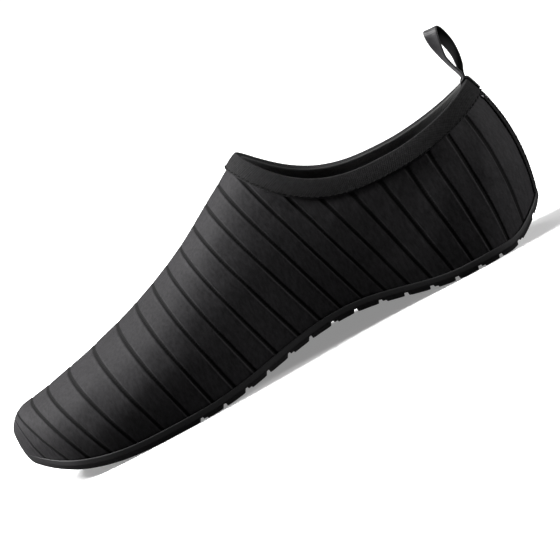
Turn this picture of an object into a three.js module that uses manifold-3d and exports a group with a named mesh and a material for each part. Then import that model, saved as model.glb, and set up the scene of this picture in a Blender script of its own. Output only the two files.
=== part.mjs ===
// Water shoe for the right foot: a stretch upper on a thin rubber sole, with a bound collar,
// a tape down the heel, a pull loop and an insole.
// Millimetres, +Z up, toe towards -X, inner side of the foot towards -Y. The origin is on the
// floor, under the flat spot of the heel.

import * as THREE from 'three';
import { mergeVertices } from 'three/addons/utils/BufferGeometryUtils.js';
import Module from 'manifold-3d';

// Driving sizes of the upper
const upperLength = 267; // toe to heel, outside
const ballWidth = 95; // across the ball of the foot, where the upper meets the sole
const instepHeight = 96; // floor to the front of the collar
const ankleHeight = 65; // floor to the lowest point of the collar
const heelHeight = 76; // floor to the collar at the back
const upperWall = 1.5;
const toeArc = 43; // length of the round toe, in plan
const heelArc = 46; // length of the round heel, in plan
const noseLength = 12; // how far back the top of the toe rounds over
const noseDrop = 12; // how far it falls there
const toeTuck = 5; // how far the toe draws back under its widest height
const toeWidest = 24;
const heelTuck = 9; // how far the heel draws in under its widest height
const heelWidest = 41;
const heelLean = 7; // how far the top of the heel leans forward

// Driving sizes of the sole
const lugDepth = 2;
const plateThickness = 1.2;
const rimThickness = 1.2;
const rimRise = 1.6; // rim above the bottom edge of the upper
const rimRound = 0.4;
const lugInset = 0.5; // how far the lugs stand back under the rim
const lugTaper = 0.4;
const toeSpring = 17;
const archRise = 9;
const archOutside = 0.5; // share of the arch that the outer side has
const heelRise = 11.5;
const lugPitch = 12;
const notchWidth = 2;
const notchDepth = 1.7;
const stepWidth = 1.8; // ledge beside every other notch
const stepDepth = 0.8;

// Driving sizes of the insole, the collar binding, the heel tape and the pull loop
const insoleThickness = 2.5;
const bindingThickness = 0.7;
const bindingOutside = 8; // how far the binding comes down the outside
const bindingInside = 7;
const bindingRound = 0.45;
const tapeThickness = 1;
const tapeWidth = 13;
const loopWidth = 7.5;
const loopThickness = 1.1;
const loopHeight = 29; // above the collar
const loopBow = 8; // across the open loop
const loopTwist = 0.15; // radians, at the top
const loopTabOutside = 6; // how far the loop is sewn down the outside
const loopTabInside = 5;

// Clearances
const seam = 0.3; // between pieces that are sewn or glued together
const innerSeam = 0.45; // between the insole and the inner face of the upper
const foldSeam = 0.7; // between the binding and the inner face of the upper
const bindingSeam = 0.45; // where the binding meets the outside of the upper
const tapeSeam = 0.6; // over the sloping rim at the heel
const loopSeam = 0.5; // between the binding and the ribbon outside it
const loopInnerSeam = 0.9; // the flat ribbon inside the round heel

// Places along the foot, as shares of its length from the toe
const throatAlong = 0.563; // front of the collar
const ankleAlong = 0.8; // lowest point of the collar
const heelCupAlong = 0.8; // where the heel starts to lean and tuck
const toeCupAlong = 0.12; // where the toe stops to tuck
const ballFront = 0.24; // flat spot of the forefoot
const archFront = 0.31;
const archTop = 0.6;
const archBack = 0.83;
const heelSeat = 0.87; // over the origin
const heelBack = 0.91; // where the heel of the sole starts to rise
const firstNotch = 0.27;
const lastNotch = 0.985;

// Sections of the upper from toe to heel. Width is half the width and shift the middle line at
// the sole, crest how far the ridge stands off that line, bulge how far the side swells: shares
// of ballWidth. Ridge is the height of the ridge, a share of instepHeight, and goes on over the
// open collar, where only the sides below it exist. Full is the exponent of the arch.
const sections = [
  { along: 0.0, width: 0.38, shift: -0.115, ridge: 0.418, crest: 0.0, bulge: 0.015, full: 2.6 },
  { along: 0.06, width: 0.415, shift: -0.085, ridge: 0.43, crest: -0.01, bulge: 0.02, full: 2.55 },
  { along: 0.12, width: 0.432, shift: -0.053, ridge: 0.46, crest: -0.025, bulge: 0.025, full: 2.5 },
  { along: 0.2, width: 0.475, shift: -0.02, ridge: 0.515, crest: -0.05, bulge: 0.032, full: 2.35 },
  { along: 0.3, width: 0.5, shift: 0.01, ridge: 0.605, crest: -0.07, bulge: 0.036, full: 2.25 },
  { along: 0.4, width: 0.483, shift: 0.042, ridge: 0.728, crest: -0.075, bulge: 0.036, full: 2.15 },
  { along: 0.5, width: 0.425, shift: 0.06, ridge: 0.892, crest: -0.07, bulge: 0.034, full: 2.05 },
  { along: 0.58, width: 0.38, shift: 0.062, ridge: 1.014, crest: -0.06, bulge: 0.03, full: 2.0 },
  { along: 0.68, width: 0.35, shift: 0.045, ridge: 1.06, crest: -0.04, bulge: 0.024, full: 2.05 },
  { along: 0.8, width: 0.337, shift: 0.016, ridge: 1.05, crest: -0.012, bulge: 0.03, full: 1.95 },
  { along: 0.9, width: 0.324, shift: 0.0, ridge: 1.04, crest: 0.0, bulge: 0.039, full: 1.82 },
  { along: 1.0, width: 0.315, shift: -0.005, ridge: 1.04, crest: 0.0, bulge: 0.042, full: 1.78 },
];

// The pull loop in its own plane: along, from one sewn end to the other. Back is how far it
// stands behind the middle of the binding, a share of loopBow, and up a share of loopHeight.
const loopRoute = [
  { back: 0.13, up: 0.2 },
  { back: 0.24, up: 0.36 },
  { back: 0.42, up: 0.55 },
  { back: 0.46, up: 0.76 },
  { back: 0.3, up: 0.93 },
  { back: 0.0, up: 1.0 },
  { back: -0.33, up: 0.96 },
  { back: -0.54, up: 0.8 },
  { back: -0.5, up: 0.58 },
  { back: -0.3, up: 0.38 },
  { back: -0.13, up: 0.2 },
];

// Fineness of the facets
const frontSteps = 24; // toe to throat
const backSteps = 26; // throat to heel
const archSteps = 13; // sole to ridge
const loopSteps = 3; // between two points of the loop's route
const tapeRows = 10;
const tapeColumns = 4;
const measureSteps = 1500;
const ridgeWeight = 0.35;
const edgeWeight = 2.4; // the top edge is stepped this much finer than the sole's edge

const { PI, abs, asin, cos, hypot, max, min, sin, sqrt } = Math;
const stationCount = frontSteps + backSteps;
const ringCount = 2 * stationCount;

// Vectors as plain arrays
const plus = (a, b, k = 1) => [a[0] + k * b[0], a[1] + k * b[1], a[2] + k * b[2]];
const minus = (a, b) => plus(a, b, -1);
const cross = (a, b) => [a[1] * b[2] - a[2] * b[1], a[2] * b[0] - a[0] * b[2], a[0] * b[1] - a[1] * b[0]];
const unit = (a) => plus([0, 0, 0], a, 1 / hypot(...a));
const mix = (a, b, t) => a + (b - a) * t;

// Smooth curve through one column of a table, with slopes taken from the rows on either side.
function column(rows, name, key, at) {
  let i = 0;
  while (i < rows.length - 2 && rows[i + 1][key] < at) i += 1;
  const slope = (k) => {
    const before = rows[max(k - 1, 0)];
    const after = rows[min(k + 1, rows.length - 1)];
    return (after[name] - before[name]) / (after[key] - before[key]);
  };
  const [a, b] = [rows[i], rows[i + 1]];
  const span = b[key] - a[key];
  const t = (at - a[key]) / span;
  const ease = t * t * (3 - 2 * t);
  const leave = t * (1 - t) * (1 - t) * span * slope(i);
  const arrive = t * t * (t - 1) * span * slope(i + 1);
  return mix(a[name], b[name], ease) + leave + arrive;
}

const section = (name, along) => column(sections, name, 'along', along);

// Quarter ellipse from 0 to 1 over a share of the length.
function roundEnd(from, reach) {
  const t = min(from / reach, 1);
  return sqrt(max(1 - (1 - t) * (1 - t), 0));
}

function endCap(along) {
  return roundEnd(along, toeArc / upperLength) * roundEnd(1 - along, heelArc / upperLength);
}

const middle = (along) => ballWidth * section('shift', along);
const halfWidth = (along) => ballWidth * section('width', along) * endCap(along);

function ridgeHeight(along) {
  const drop = noseDrop * (1 - roundEnd(along, noseLength / upperLength));
  return instepHeight * section('ridge', along) - drop;
}

// Rise and fall of the arch between the two flat spots, a half cosine each way.
function archShare(along) {
  if (along <= archFront || along >= archBack) return 0;
  const t = along < archTop
    ? (along - archFront) / (archTop - archFront)
    : (archBack - along) / (archBack - archTop);
  return (1 - cos(PI * t)) / 2;
}

// Height of the underside of the sole. Across is -1 at the inner edge and 1 at the outer edge.
function floorHeight(along, across) {
  const toe = toeSpring * max(1 - along / ballFront, 0) ** 2.4;
  const heel = heelRise * max((along - heelBack) / (1 - heelBack), 0) ** 2;
  const arch = archRise * archShare(along) * mix(1, archOutside, (across + 1) / 2);
  return toe + heel + arch;
}

const featherRise = lugDepth + plateThickness + seam; // underside to the bottom edge of the upper
const featherHeight = (along, side) => floorHeight(along, side) + featherRise;

// A point of the last in space: the toe and the heel draw in below and above their widest.
function place(along, y, z) {
  const toeShare = max(1 - along / toeCupAlong, 0) ** 2;
  const heelShare = max((along - heelCupAlong) / (1 - heelCupAlong), 0) ** 2;
  const toe = toeTuck * max(1 - z / toeWidest, 0) * toeShare;
  const under = heelTuck * max(1 - z / heelWidest, 0) ** 2;
  const over = heelLean * (max(z - heelWidest, 0) / (heelHeight - heelWidest)) ** 2;
  return [(along - heelSeat) * upperLength + toe - (under + over) * heelShare, y, z];
}

// The outside of the upper. Side is -1 for the inner side of the foot and 1 for the outer one,
// up is 0 at the sole and 1 at the ridge.
function skin(along, side, up) {
  const full = section('full', along);
  const reach = max(1 - up ** full, 0) ** (1 / full);
  const swell = ballWidth * section('bulge', along) * endCap(along) * sin(PI * up);
  const crest = ballWidth * section('crest', along) * up * up;
  const y = middle(along) + crest + side * (halfWidth(along) * reach + swell);
  const z = mix(featherHeight(along, side), ridgeHeight(along), up);
  return place(along, y, z);
}

function upAtHeight(along, side, z) {
  const low = featherHeight(along, side);
  return min((z - low) / (ridgeHeight(along) - low), 1);
}

// Height of a line that runs round the collar, drop below its edge.
function collarHeight(along, drop) {
  const front = collarFront(drop);
  const low = ankleHeight - drop;
  if (along < ankleAlong) {
    const t = (ankleAlong - along) / (ankleAlong - front);
    return low + (ridgeHeight(front) - low) * t ** 3;
  }
  const t = (along - ankleAlong) / (1 - ankleAlong);
  return low + (heelHeight - ankleHeight) * t ** 1.7;
}

const ridgeFall = 0.85; // how far a line moves to the toe along the ridge, for each unit of drop
const collarFront = (drop) => throatAlong - (drop * ridgeFall) / upperLength;

function topOfUpper(along, side) {
  if (along <= throatAlong) return 1;
  return upAtHeight(along, side, collarHeight(along, 0));
}

// Stations at even steps of the way that the sole's edge and the top edge take together.
function evenStations(from, to, count) {
  const travelled = [0];
  const places = [];
  let last = null;
  for (let k = 0; k <= measureSteps; k += 1) {
    const along = mix(from, to, (1 - cos((PI * k) / measureSteps)) / 2);
    const here = [skin(along, -1, 0), skin(along, -1, topOfUpper(along, -1))];
    if (last) {
      const [low, high] = [hypot(...minus(here[0], last[0])), hypot(...minus(here[1], last[1]))];
      const step = hypot(low, edgeWeight * high);
      travelled.push(travelled[k - 1] + step);
    }
    places.push(along);
    last = here;
  }
  const stops = [from];
  let k = 0;
  for (let n = 1; n < count; n += 1) {
    const goal = (travelled[measureSteps] * n) / count;
    while (travelled[k + 1] < goal) k += 1;
    stops.push(mix(places[k], places[k + 1], (goal - travelled[k]) / (travelled[k + 1] - travelled[k])));
  }
  stops.push(to);
  return stops;
}

const stations = [
  ...evenStations(0, throatAlong, frontSteps),
  ...evenStations(throatAlong, 1, backSteps).slice(1),
];

// A ring goes round the shoe from the toe by the inner side to the heel, and back outside.
const stationOf = (i) => (i <= stationCount ? i : ringCount - i);
const alongOf = (i) => stations[stationOf(i)];
const sideOf = (i) => (i <= stationCount ? -1 : 1);
const ringPlaces = Array.from({ length: ringCount }, (_, i) => i);

// Ring of points at a rise over the bottom edge of the upper, moved outwards in plan.
function ring(rise, out) {
  const line = ringPlaces.map((i) => {
    const [along, side] = [alongOf(i), sideOf(i)];
    const z = featherHeight(along, side) + rise;
    if (rise > 0) return skin(along, side, upAtHeight(along, side, z));
    return place(along, middle(along) + side * halfWidth(along), z);
  });
  return line.map((p, i) => {
    const way = minus(line[(i + 1) % ringCount], line[(i + ringCount - 1) % ringCount]);
    const outwards = unit([way[1], -way[0], 0]);
    return plus(p, outwards, out);
  });
}

// Shell of triangles that share their corners
class Shell {
  points = [];
  faces = [];

  add(point) {
    this.points.push(point);
    return this.points.length - 1;
  }

  addAll(points) {
    return points.map((p) => this.add(p));
  }

  quad(a, b, c, d) {
    if (a !== b && b !== c && c !== a) this.faces.push([a, b, c]);
    if (a !== c && c !== d && d !== a) this.faces.push([a, c, d]);
  }

  // Strip between two lines of corners, facing out where the second is above the first.
  band(low, high, closed = true) {
    const count = closed ? low.length : low.length - 1;
    for (let i = 0; i < count; i += 1) {
      const j = (i + 1) % low.length;
      this.quad(low[i], low[j], high[j], high[i]);
    }
  }

  // Fill of a ring by strips from the inner side to the outer side, facing up or down.
  fill(line, up) {
    for (let k = 0; k < stationCount; k += 1) {
      const [a, b] = [line[k], line[k + 1]];
      const [c, d] = [line[ringCount - k - 1], line[(ringCount - k) % ringCount]];
      if (up) this.quad(a, b, c, d);
      else this.quad(a, d, c, b);
    }
  }

  // Mean direction of the faces round each corner.
  normals() {
    const sums = this.points.map(() => [0, 0, 0]);
    for (const [a, b, c] of this.faces) {
      const [pa, pb, pc] = [this.points[a], this.points[b], this.points[c]];
      const area = cross(minus(pb, pa), minus(pc, pa));
      for (const corner of [a, b, c]) sums[corner] = plus(sums[corner], area);
    }
    return sums.map(unit);
  }

  geometry() {
    const geometry = new THREE.BufferGeometry();
    geometry.setAttribute('position', new THREE.Float32BufferAttribute(this.points.flat(), 3));
    geometry.setIndex(this.faces.flat());
    return geometry;
  }
}

// Joining and cutting of closed solids
const wasm = await Module();
wasm.setup();

function toSolid(geometry) {
  const bare = geometry.clone();
  bare.deleteAttribute('normal');
  bare.deleteAttribute('uv');
  const merged = mergeVertices(bare, 1e-4);
  const vertProperties = new Float32Array(merged.getAttribute('position').array);
  const triVerts = new Uint32Array(merged.getIndex().array);
  return new wasm.Manifold(new wasm.Mesh({ numProp: 3, vertProperties, triVerts }));
}

function toGeometry(solid) {
  const mesh = solid.getMesh();
  const geometry = new THREE.BufferGeometry();
  geometry.setAttribute('position', new THREE.Float32BufferAttribute(mesh.vertProperties, 3));
  geometry.setIndex(new THREE.Uint32BufferAttribute(mesh.triVerts, 1));
  return geometry;
}

// Share of the arch below a row of facets: the rows lie closer near the ridge.
function rowShare(row) {
  const even = row / archSteps;
  return even + (ridgeWeight * sin(PI * even)) / PI;
}

// Upper: outer skin, inner skin a wall's thickness inside it, open under the foot and at the
// collar. In front of the collar both sides share the corners of the ridge.
function upperGeometry() {
  const shell = new Shell();
  const rows = [];
  for (let row = 0; row <= archSteps; row += 1) {
    const line = [];
    for (const i of ringPlaces) {
      const [along, side] = [alongOf(i), sideOf(i)];
      if (row === archSteps && i > stationCount && stationOf(i) <= frontSteps) {
        line.push(line[ringCount - i]);
        continue;
      }
      const full = section('full', along);
      const turn = asin(topOfUpper(along, side) ** (full / 2)) * rowShare(row);
      line.push(shell.add(skin(along, side, sin(turn) ** (2 / full))));
    }
    rows.push(line);
  }
  for (let row = 0; row < archSteps; row += 1) shell.band(rows[row], rows[row + 1]);

  const outward = shell.normals();
  const outerCount = shell.points.length;
  const bottom = new Set(rows[0]);
  const edge = rows[archSteps].slice(frontSteps, ringCount - frontSteps);
  for (let k = 0; k < outerCount; k += 1) {
    const way = bottom.has(k) ? unit([outward[k][0], outward[k][1], 0]) : outward[k];
    const j = edge.indexOf(k);
    shell.add(j < 0 ? plus(shell.points[k], way, -upperWall) : collarOffset(j, 0, -upperWall));
  }
  const outerFaces = shell.faces.length;
  for (let k = 0; k < outerFaces; k += 1) {
    const [a, b, c] = shell.faces[k];
    shell.faces.push([a + outerCount, c + outerCount, b + outerCount]);
  }

  const inside = (line) => line.map((corner) => corner + outerCount);
  shell.band(inside(rows[0]), rows[0]);
  shell.band(edge, inside(edge));
  return shell.geometry();
}

// Outsole: lugs, a plate and a rim that wraps the bottom edge of the upper, notched across.
function outsoleGeometry() {
  const shell = new Shell();
  const out = seam + rimThickness;
  const lines = [
    [-featherRise, out - lugInset - lugTaper],
    [-featherRise + lugDepth, out - lugInset],
    [-featherRise + lugDepth, out],
    [rimRise - rimRound, out],
    [rimRise, out - rimRound],
    [rimRise, seam],
    [-seam, seam],
  ].map(([rise, by]) => shell.addAll(ring(rise, by)));
  for (let k = 0; k < lines.length - 1; k += 1) shell.band(lines[k], lines[k + 1]);
  shell.fill(lines[0], false);
  shell.fill(lines[lines.length - 1], true);

  let solid = toSolid(shell.geometry());
  const first = Math.ceil(((firstNotch - heelSeat) * upperLength) / lugPitch - 0.5);
  const last = Math.floor(((lastNotch - heelSeat) * upperLength) / lugPitch - 0.5);
  for (let k = first; k <= last; k += 1) {
    const at = (k + 0.5) * lugPitch;
    solid = solid.subtract(notch(at - notchWidth / 2, notchWidth, notchDepth));
    const ledgeStart = at + notchWidth / 2 - seam;
    if (abs(k) % 2 === 1) solid = solid.subtract(notch(ledgeStart, stepWidth + seam, stepDepth));
  }
  return toGeometry(solid);
}

// Bar that cuts one notch across the sole, its top following the underside.
function notch(start, length, depth) {
  const shell = new Shell();
  const reach = ballWidth;
  const corners = (lift) => [
    [start, -1],
    [start + length, -1],
    [start + length, 1],
    [start, 1],
  ].map(([x, side]) => {
    const along = heelSeat + x / upperLength;
    const across = (side * reach - middle(along)) / max(halfWidth(along), ballWidth / 8);
    return place(along, side * reach, floorHeight(along, across) + lift);
  });
  const low = shell.addAll(corners(-2 * lugDepth));
  const high = shell.addAll(corners(depth));
  shell.band(low, high);
  shell.quad(...high);
  shell.quad(...low.reverse());
  return toSolid(shell.geometry());
}

// Insole: lies on the plate of the sole, inside the wall of the upper.
function insoleGeometry() {
  const shell = new Shell();
  const inset = -upperWall - innerSeam;
  const low = shell.addAll(ring(0, inset));
  const high = shell.addAll(ring(insoleThickness, inset));
  shell.band(low, high);
  shell.fill(low, false);
  shell.fill(high, true);
  return shell.geometry();
}

// A point of the line that runs round the collar, drop below its edge.
function collarPoint(i, drop) {
  const [side, front] = [sideOf(i), collarFront(drop)];
  const share = (alongOf(i) - throatAlong) / (1 - throatAlong);
  const along = mix(front, 1, share);
  const up = stationOf(i) === frontSteps ? 1 : upAtHeight(along, side, collarHeight(along, drop));
  return skin(along, side, up);
}

const collarPlaces = ringPlaces.slice(frontSteps, ringCount - frontSteps);
const collarStep = 0.5;

// The same point moved off the skin, and past the edge where drop is below zero.
function collarOffset(j, drop, out) {
  const count = collarPlaces.length;
  const at = (k, by) => collarPoint(collarPlaces[(k + count) % count], by);
  const depth = max(drop, 0);
  const way = minus(at(j + 1, depth), at(j - 1, depth));
  const outwards = unit(cross(way, minus(at(j, depth), at(j, depth + collarStep))));
  const up = unit(cross(outwards, way));
  return plus(plus(at(j, depth), up, depth - drop), outwards, out);
}

// Collar binding: a tape folded over the edge of the upper, outside and inside.
function bindingGeometry() {
  const shell = new Shell();
  const outside = bindingSeam;
  const inside = -upperWall - foldSeam;
  const t = bindingThickness;
  const profile = [
    [bindingOutside, outside],
    [bindingOutside, outside + t],
    [bindingOutside / 2, outside + t],
    [0, outside + t],
    [-seam - t + bindingRound, outside + t],
    [-seam - t, outside + t - bindingRound],
    [-seam - t, inside - t + bindingRound],
    [-seam - t + bindingRound, inside - t],
    [0, inside - t],
    [bindingInside, inside - t],
    [bindingInside, inside],
    [0, inside],
    [-seam, inside],
    [-seam, outside],
    [0, outside],
    [bindingOutside / 2, outside],
  ];
  const ringOf = ([drop, out]) => shell.addAll(collarPlaces.map((_, j) => collarOffset(j, drop, out)));
  const rings = profile.map(ringOf);
  for (let k = 0; k < rings.length; k += 1) shell.band(rings[k], rings[(k + 1) % rings.length]);
  return shell.geometry();
}

// Heel tape: a strip up the middle of the heel, from the rim of the sole to the binding.
function tapeGeometry() {
  const heelRadius = (ballWidth * section('width', 1)) ** 2 / heelArc;
  const shares = Array.from({ length: tapeColumns + 1 }, (_, c) => c / tapeColumns);
  const across = shares.map((share) => tapeWidth * (share - 0.5));
  const point = (y, row, out) => {
    const side = y < 0 ? -1 : 1;
    const along = alongHeel(abs(y));
    const low = upAtHeight(along, side, featherHeight(along, side) + rimRise + tapeSeam);
    const high = upAtHeight(along, side, collarHeight(along, bindingOutside + seam));
    const up = mix(low, high, row / tapeRows);
    const here = skin(along, side, up);
    const above = minus(skin(along, side, up + 0.01), here);
    const beside = minus(skin(along, 1, up), skin(along, -1, up));
    const level = hypot(...beside) > 1e-6 ? beside : [0, 1, 0];
    const back = unit(cross(level, above));
    const turned = y === 0 ? back : unit(plus(back, [0, y / heelRadius, 0]));
    return plus(here, turned, out);
  };
  const shell = new Shell();
  const sheet = (out) => {
    const lines = [];
    for (let row = 0; row <= tapeRows; row += 1) {
      lines.push(shell.addAll(across.map((y) => point(y, row, out))));
    }
    return lines;
  };
  const outer = sheet(seam + tapeThickness);
  const inner = sheet(seam);
  for (let row = 0; row < tapeRows; row += 1) {
    shell.band(outer[row], outer[row + 1], false);
    shell.band([...inner[row]].reverse(), [...inner[row + 1]].reverse(), false);
  }
  const rim = (sheetLines) => [
    ...sheetLines[0],
    ...sheetLines.slice(1, -1).map((line) => line[tapeColumns]),
    ...[...sheetLines[tapeRows]].reverse(),
    ...sheetLines.slice(1, -1).map((line) => line[0]).reverse(),
  ];
  shell.band(rim(inner), rim(outer));
  return shell.geometry();
}

// Where the heel is y wide on each side, close to its back.
function alongHeel(y) {
  let [low, high] = [1 - heelArc / upperLength, 1];
  for (let k = 0; k < 40; k += 1) {
    const along = (low + high) / 2;
    if (halfWidth(along) > y) low = along;
    else high = along;
  }
  return (low + high) / 2;
}

// Pull loop: a ribbon sewn over the binding at the back, both ends down and the middle up.
function loopGeometry() {
  const heel = stationCount - frontSteps;
  const outerFace = bindingSeam + bindingThickness + loopSeam + loopThickness / 2;
  const innerFace = -upperWall - foldSeam - bindingThickness - loopInnerSeam - loopThickness / 2;
  const root = collarOffset(heel, 0, (outerFace + innerFace) / 2);
  const route = [
    collarOffset(heel, loopTabOutside, outerFace),
    collarOffset(heel, loopTabOutside / 2, outerFace),
    collarOffset(heel, 0, outerFace),
    collarOffset(heel, -bindingThickness - loopSeam - loopThickness, outerFace),
    ...loopRoute.map(({ back, up }) => plus(root, [loopBow * back, 0, loopHeight * up])),
    collarOffset(heel, -bindingThickness - loopSeam - loopThickness, innerFace),
    collarOffset(heel, 0, innerFace),
    collarOffset(heel, loopTabInside / 2, innerFace),
    collarOffset(heel, loopTabInside, innerFace),
  ];
  const corners = route.map((p) => new THREE.Vector3(...p));
  const curve = new THREE.CatmullRomCurve3(corners, false, 'centripetal');
  const steps = (route.length - 1) * loopSteps;
  const lines = [];
  const shell = new Shell();
  for (let k = 0; k <= steps; k += 1) {
    const at = curve.getPoint(k / steps).toArray();
    const way = curve.getTangent(k / steps).toArray();
    const height = max(at[2] - root[2], 0) / loopHeight;
    const turn = loopTwist * sin((PI / 2) * min(height, 1));
    const broad = unit([sin(turn), cos(turn), 0]);
    const thick = unit(cross(broad, way));
    const flat = unit(cross(way, thick));
    const corner = (a, b) => plus(plus(at, flat, (a * loopWidth) / 2), thick, (b * loopThickness) / 2);
    lines.push(shell.addAll([corner(-1, 1), corner(1, 1), corner(1, -1), corner(-1, -1)]));
  }
  for (let k = 0; k < steps; k += 1) shell.band(lines[k], lines[k + 1]);
  shell.quad(...[...lines[0]].reverse());
  shell.quad(...lines[steps]);
  return shell.geometry();
}

// Materials and the finished shoe
function cloth(name, color, roughness) {
  return new THREE.MeshStandardMaterial({ name, color, roughness, metalness: 0 });
}

function piece(name, geometry, material) {
  const mesh = new THREE.Mesh(geometry, material);
  mesh.name = name;
  geometry.computeVertexNormals();
  return mesh;
}

const shoe = new THREE.Group();
shoe.add(
  piece('outsole', outsoleGeometry(), cloth('sole rubber', 0x1b191b, 0.7)),
  piece('upper', upperGeometry(), cloth('stretch fabric', 0x262427, 0.75)),
  piece('insole', insoleGeometry(), cloth('insole foam', 0x1a191b, 0.9)),
  piece('collar_binding', bindingGeometry(), cloth('binding tape', 0x161517, 0.85)),
  piece('heel_tape', tapeGeometry(), cloth('heel tape', 0x141315, 0.85)),
  piece('pull_loop', loopGeometry(), cloth('loop ribbon', 0x2a292b, 0.6)),
);

export default shoe;
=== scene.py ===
import math

import bpy
import numpy as np
from mathutils import Matrix, Vector


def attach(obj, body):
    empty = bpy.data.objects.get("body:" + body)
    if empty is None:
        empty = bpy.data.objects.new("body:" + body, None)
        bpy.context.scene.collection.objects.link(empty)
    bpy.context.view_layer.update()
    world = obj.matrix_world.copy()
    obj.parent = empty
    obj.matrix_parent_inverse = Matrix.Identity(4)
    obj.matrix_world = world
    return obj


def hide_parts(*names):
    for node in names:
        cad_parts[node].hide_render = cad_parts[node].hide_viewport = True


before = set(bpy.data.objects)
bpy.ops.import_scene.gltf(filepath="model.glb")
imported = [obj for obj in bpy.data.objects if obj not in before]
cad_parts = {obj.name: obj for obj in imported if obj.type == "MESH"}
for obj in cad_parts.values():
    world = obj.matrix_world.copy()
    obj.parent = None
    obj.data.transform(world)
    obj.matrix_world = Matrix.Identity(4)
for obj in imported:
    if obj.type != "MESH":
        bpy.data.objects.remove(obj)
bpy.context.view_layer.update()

# %% [markdown]
# # Water shoe
# This scene dresses one slip-on water shoe for the right foot. The frame comes from the packed
# CAD model: metres, +Z up, toe towards -X, inner side of the foot towards -Y. Each plain CAD solid
# is replaced by a finer mesh of the same form, worked out by the same formulas in millimetres.

# %% Sizes
UPPER_LENGTH = 267.0
BALL_WIDTH = 95.0
INSTEP_HEIGHT = 96.0
ANKLE_HEIGHT = 65.0
HEEL_HEIGHT = 76.0
WALL = 1.5
TOE_ARC, HEEL_ARC = 43.0, 46.0
NOSE_LENGTH, NOSE_DROP = 12.0, 12.0
TOE_TUCK, TOE_WIDEST = 5.0, 24.0
HEEL_TUCK, HEEL_WIDEST, HEEL_LEAN = 9.0, 41.0, 7.0
LUG_DEPTH, PLATE, RIM, RIM_RISE = 2.0, 1.2, 1.2, 1.6
LUG_INSET, LUG_TAPER = 0.5, 0.4
TOE_SPRING, ARCH_RISE, ARCH_OUTSIDE, HEEL_RISE = 17.0, 9.0, 0.5, 11.5
LUG_PITCH, NOTCH_WIDTH, NOTCH_DEPTH, STEP_WIDTH, STEP_DEPTH = 12.0, 2.0, 1.7, 1.8, 0.8
INSOLE = 2.5
TAPE, BINDING_OUTSIDE, BINDING_INSIDE = 0.7, 8.0, 7.0
HEEL_TAPE, HEEL_TAPE_WIDTH = 1.0, 13.0
LOOP_WIDTH, LOOP_THICKNESS, LOOP_HEIGHT, LOOP_BOW, LOOP_LEAN = 7.5, 0.8, 29.0, 6.4, 3.0
SEAM = 0.3
FEATHER_RISE = LUG_DEPTH + PLATE + SEAM

THROAT, ANKLE, HEEL_CUP, TOE_CUP = 0.563, 0.8, 0.8, 0.12
BALL_FRONT, ARCH_FRONT, ARCH_TOP, ARCH_BACK = 0.24, 0.31, 0.6, 0.83
HEEL_SEAT, HEEL_BACK = 0.87, 0.91
FIRST_NOTCH, LAST_NOTCH = 0.27, 0.985
COLLAR_SLOPE = 0.85

# Sections from toe to heel, as shares of the ball's width and of the instep's height.
SECTION_NAMES = ("along", "width", "shift", "ridge", "crest", "bulge", "full")
SECTION_ROWS = np.array([
    (0.0, 0.38, -0.115, 0.418, 0.0, 0.015, 2.6),
    (0.06, 0.415, -0.085, 0.43, -0.01, 0.02, 2.55),
    (0.12, 0.432, -0.053, 0.46, -0.025, 0.025, 2.5),
    (0.2, 0.475, -0.02, 0.515, -0.05, 0.032, 2.35),
    (0.3, 0.5, 0.01, 0.605, -0.07, 0.036, 2.25),
    (0.4, 0.483, 0.042, 0.728, -0.075, 0.036, 2.15),
    (0.5, 0.425, 0.06, 0.892, -0.07, 0.034, 2.05),
    (0.58, 0.38, 0.062, 1.014, -0.06, 0.03, 2.0),
    (0.68, 0.35, 0.045, 1.06, -0.04, 0.024, 2.05),
    (0.8, 0.337, 0.016, 1.05, -0.012, 0.03, 1.95),
    (0.9, 0.324, 0.0, 1.04, 0.0, 0.039, 1.82),
    (1.0, 0.315, -0.005, 1.04, 0.0, 0.042, 1.78),
])
SECTIONS = dict(zip(SECTION_NAMES, SECTION_ROWS.T))
print("sections of the last:", len(SECTION_ROWS))

# %% [markdown]
# ## The last as functions
# A shoe is pulled over a last, a block with the form of a foot. Modelling one by pushing vertices
# about is slow and never quite even. Here the last is a few formulas that take whole numpy arrays:
# give them thousands of places along the foot and up its side, and they return as many points.

# %% Blends and curves


def mix(a, b, t):
    """a + (b - a) t."""
    return a + (b - a) * t


def unit(v):
    """Each vector divided by its length."""
    return v / np.maximum(np.linalg.norm(v, axis=-1, keepdims=True), 1e-12)


def smooth(low, high, x):
    """t²(3 - 2t), where t goes from 0 at low to 1 at high."""
    t = np.clip((x - low) / (high - low), 0, 1)
    return t * t * (3 - 2 * t)


def column(name, at):
    """Smooth curve through one column of the sections.

    Between two rows a and b, span apart, it is mix(a, b, t²(3 - 2t)) + t(1 - t)² span slope(a)
    + t²(t - 1) span slope(b), with each slope taken from the rows on either side.
    """
    x, y = SECTIONS["along"], SECTIONS[name]
    rows = np.arange(len(x))
    before, after = np.maximum(rows - 1, 0), np.minimum(rows + 1, len(x) - 1)
    slope = (y[after] - y[before]) / (x[after] - x[before])
    i = np.clip(np.searchsorted(x, at) - 1, 0, len(x) - 2)
    span = x[i + 1] - x[i]
    t = (at - x[i]) / span
    curve = mix(y[i], y[i + 1], t * t * (3 - 2 * t))
    return curve + t * (1 - t) ** 2 * span * slope[i] + t * t * (t - 1) * span * slope[i + 1]


def round_end(start, reach):
    """Quarter ellipse, √(1 - (1 - t)²) with t = start / reach up to 1."""
    t = np.clip(start / reach, 0, 1)
    return np.sqrt(1 - (1 - t) ** 2)


print("quarter ellipse half way:", round(float(round_end(0.5, 1.0)), 3))

# %% Outline and heights


def end_cap(along):
    """1 in the middle, rounded to 0 at the toe and at the heel."""
    return round_end(along, TOE_ARC / UPPER_LENGTH) * round_end(1 - along, HEEL_ARC / UPPER_LENGTH)


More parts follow.
